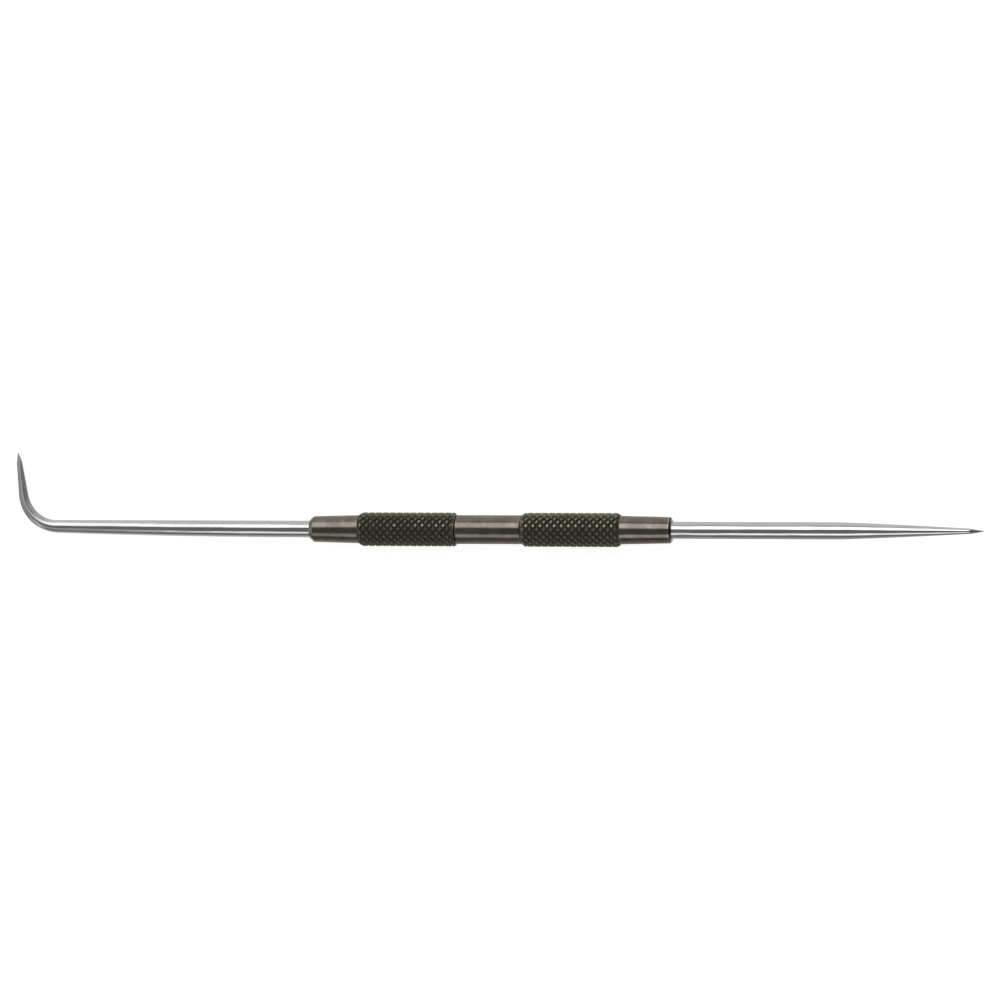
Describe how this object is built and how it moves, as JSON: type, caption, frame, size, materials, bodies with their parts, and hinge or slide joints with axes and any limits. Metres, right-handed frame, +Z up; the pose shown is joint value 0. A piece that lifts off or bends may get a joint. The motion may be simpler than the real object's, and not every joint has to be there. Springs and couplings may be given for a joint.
{
  "type": "engineers scriber",
  "caption": "Double-ended marking-out scriber: a knurled chuck handle holds a straight hardened point at one end and a bent, hooked point at the other.",
  "frame": {"origin": "on the bench, under the middle of the tool's bounding box, as the tool rests on its two knurled bands and the tip of the hook", "axes": "+X along the handle's axis towards the straight point, +Y to the side that the hook leans to, +Z up from the bench"},
  "size_m": [0.2344, 0.0226, 0.008],
  "materials": {
    "barrel_steel": "turned steel, chemically blackened to a warm grey-brown, satin, worn brighter along its edges",
    "sleeve_steel": "blackened steel with a diamond knurl, darker in the grooves and rubbed bright on the flats of the diamonds",
    "collet_steel": "tempered spring steel, ground",
    "point_steel": "hardened steel, nickel plated and polished, with ground tips"
  },
  "bodies": {
    "barrel": {"centre_barrel": "barrel_steel"},
    "bent_collet": {"bent_end_collet": "collet_steel"},
    "bent_sleeve": {"bent_end_sleeve": "sleeve_steel"},
    "bent_rod": {"bent_point": "point_steel"},
    "straight_collet": {"straight_end_collet": "collet_steel"},
    "straight_sleeve": {"straight_end_sleeve": "sleeve_steel"},
    "straight_rod": {"straight_point": "point_steel"}
  },
  "joints": [
    {"name": "bent_collet_slide", "type": "slide", "parent": "barrel", "child": "bent_collet", "axis": [-1, 0, 0], "range_m": [0, 0.00675]},
    {"name": "bent_sleeve_screw", "type": "hinge", "parent": "bent_collet", "child": "bent_sleeve", "pos_m": [-0.02, -0.00727, 0.004], "axis": [-1, 0, 0], "range_deg": [0, 3240]},
    {"name": "bent_point_turn", "type": "hinge", "parent": "bent_collet", "child": "bent_rod", "pos_m": [-0.02, -0.00727, 0.004], "axis": [-1, 0, 0], "continuous": true},
    {"name": "straight_collet_slide", "type": "slide", "parent": "barrel", "child": "straight_collet", "axis": [1, 0, 0], "range_m": [0, 0.00675]},
    {"name": "straight_sleeve_screw", "type": "hinge", "parent": "straight_collet", "child": "straight_sleeve", "pos_m": [0.02, -0.00727, 0.004], "axis": [1, 0, 0], "range_deg": [0, 3240]},
    {"name": "straight_point_slide", "type": "slide", "parent": "straight_collet", "child": "straight_rod", "axis": [1, 0, 0], "range_m": [0, 0.014]}
  ],
  "couplings": [
    {"joint": "bent_sleeve_screw", "follows": "bent_collet_slide", "rad_per_m": 8377.6},
    {"joint": "straight_sleeve_screw", "follows": "straight_collet_slide", "rad_per_m": 8377.6}
  ]
}
